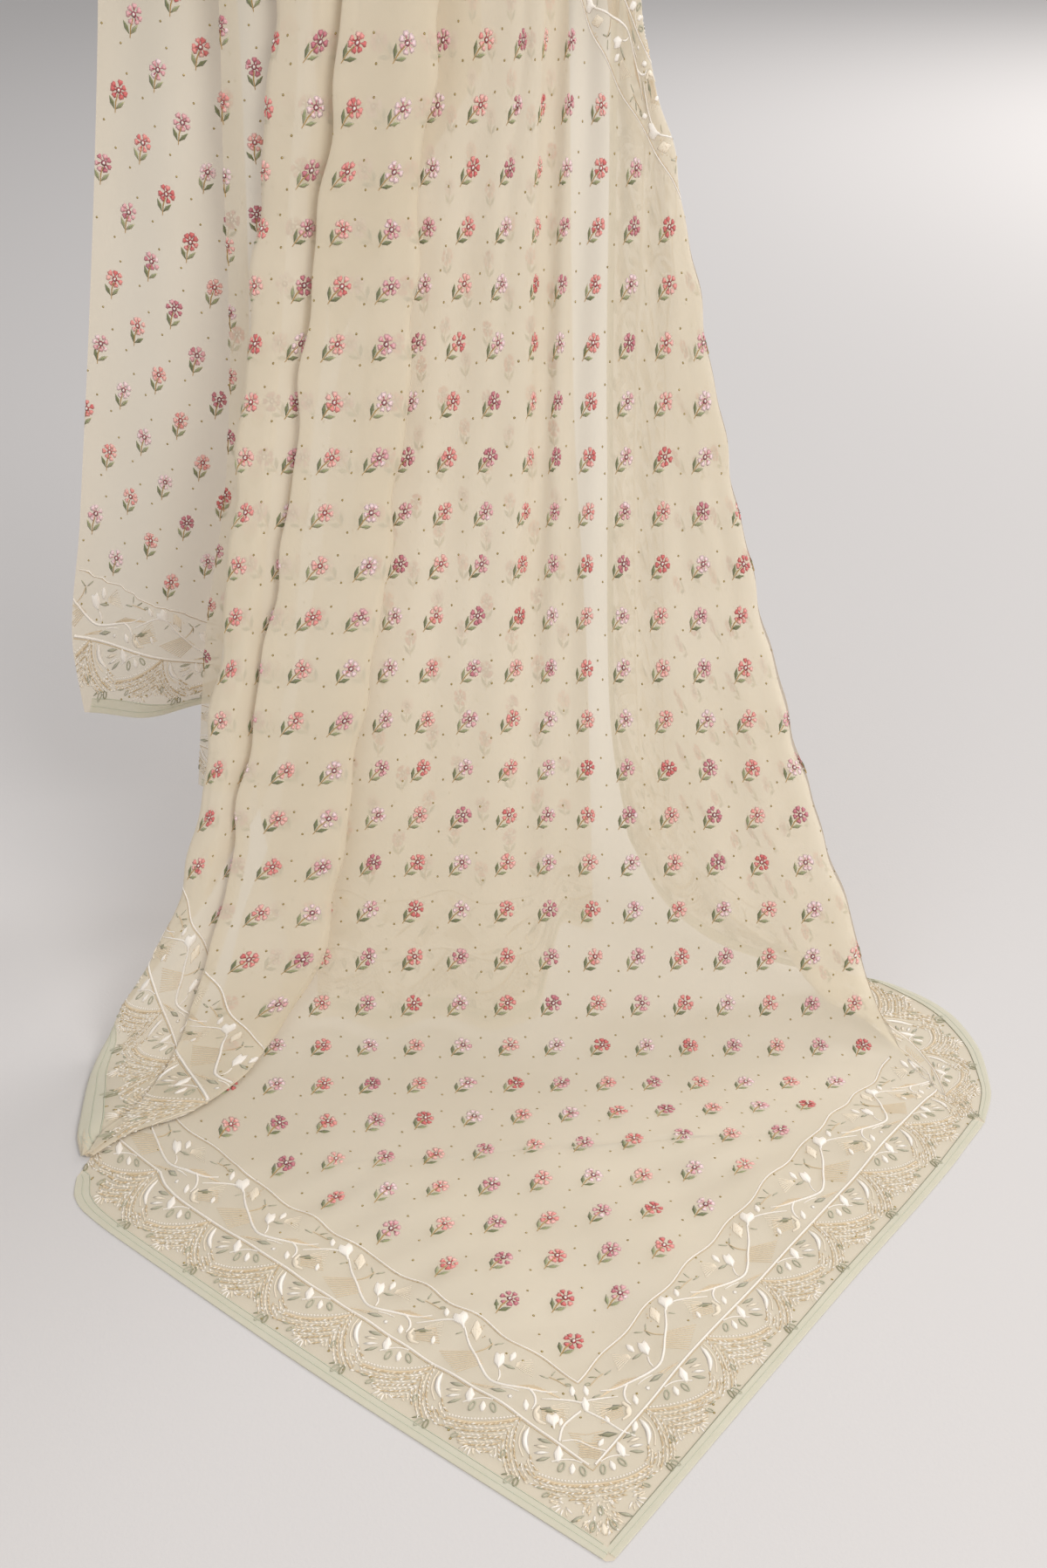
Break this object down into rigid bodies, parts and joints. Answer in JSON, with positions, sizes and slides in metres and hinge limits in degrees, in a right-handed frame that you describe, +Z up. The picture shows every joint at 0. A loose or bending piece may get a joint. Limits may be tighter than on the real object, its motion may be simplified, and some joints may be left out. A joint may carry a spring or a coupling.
{
  "type": "georgette saree on a rail",
  "caption": "Sheer embroidered saree hung over a round rail, pleated at the left, folded back at the right, with its corner trailing flat on the floor.",
  "frame": {"origin": "middle of the rail's axis", "axes": "+X along the rail, +Y away from the front of the saree, +Z up"},
  "size_m": [0.9297, 0.882, 1.1455],
  "materials": {
    "georgette": "matte",
    "embroidery": "satin",
    "sequin": "polished",
    "rail_metal": "brushed"
  },
  "bodies": {
    "root": {"rail": "rail_metal", "main_fall": "georgette", "centre_pleat": "georgette", "left_pleat": "georgette", "fold_back": "georgette", "side_roll": "georgette", "short_end": "georgette", "under_folds": "georgette"}
  },
  "joints": []
}
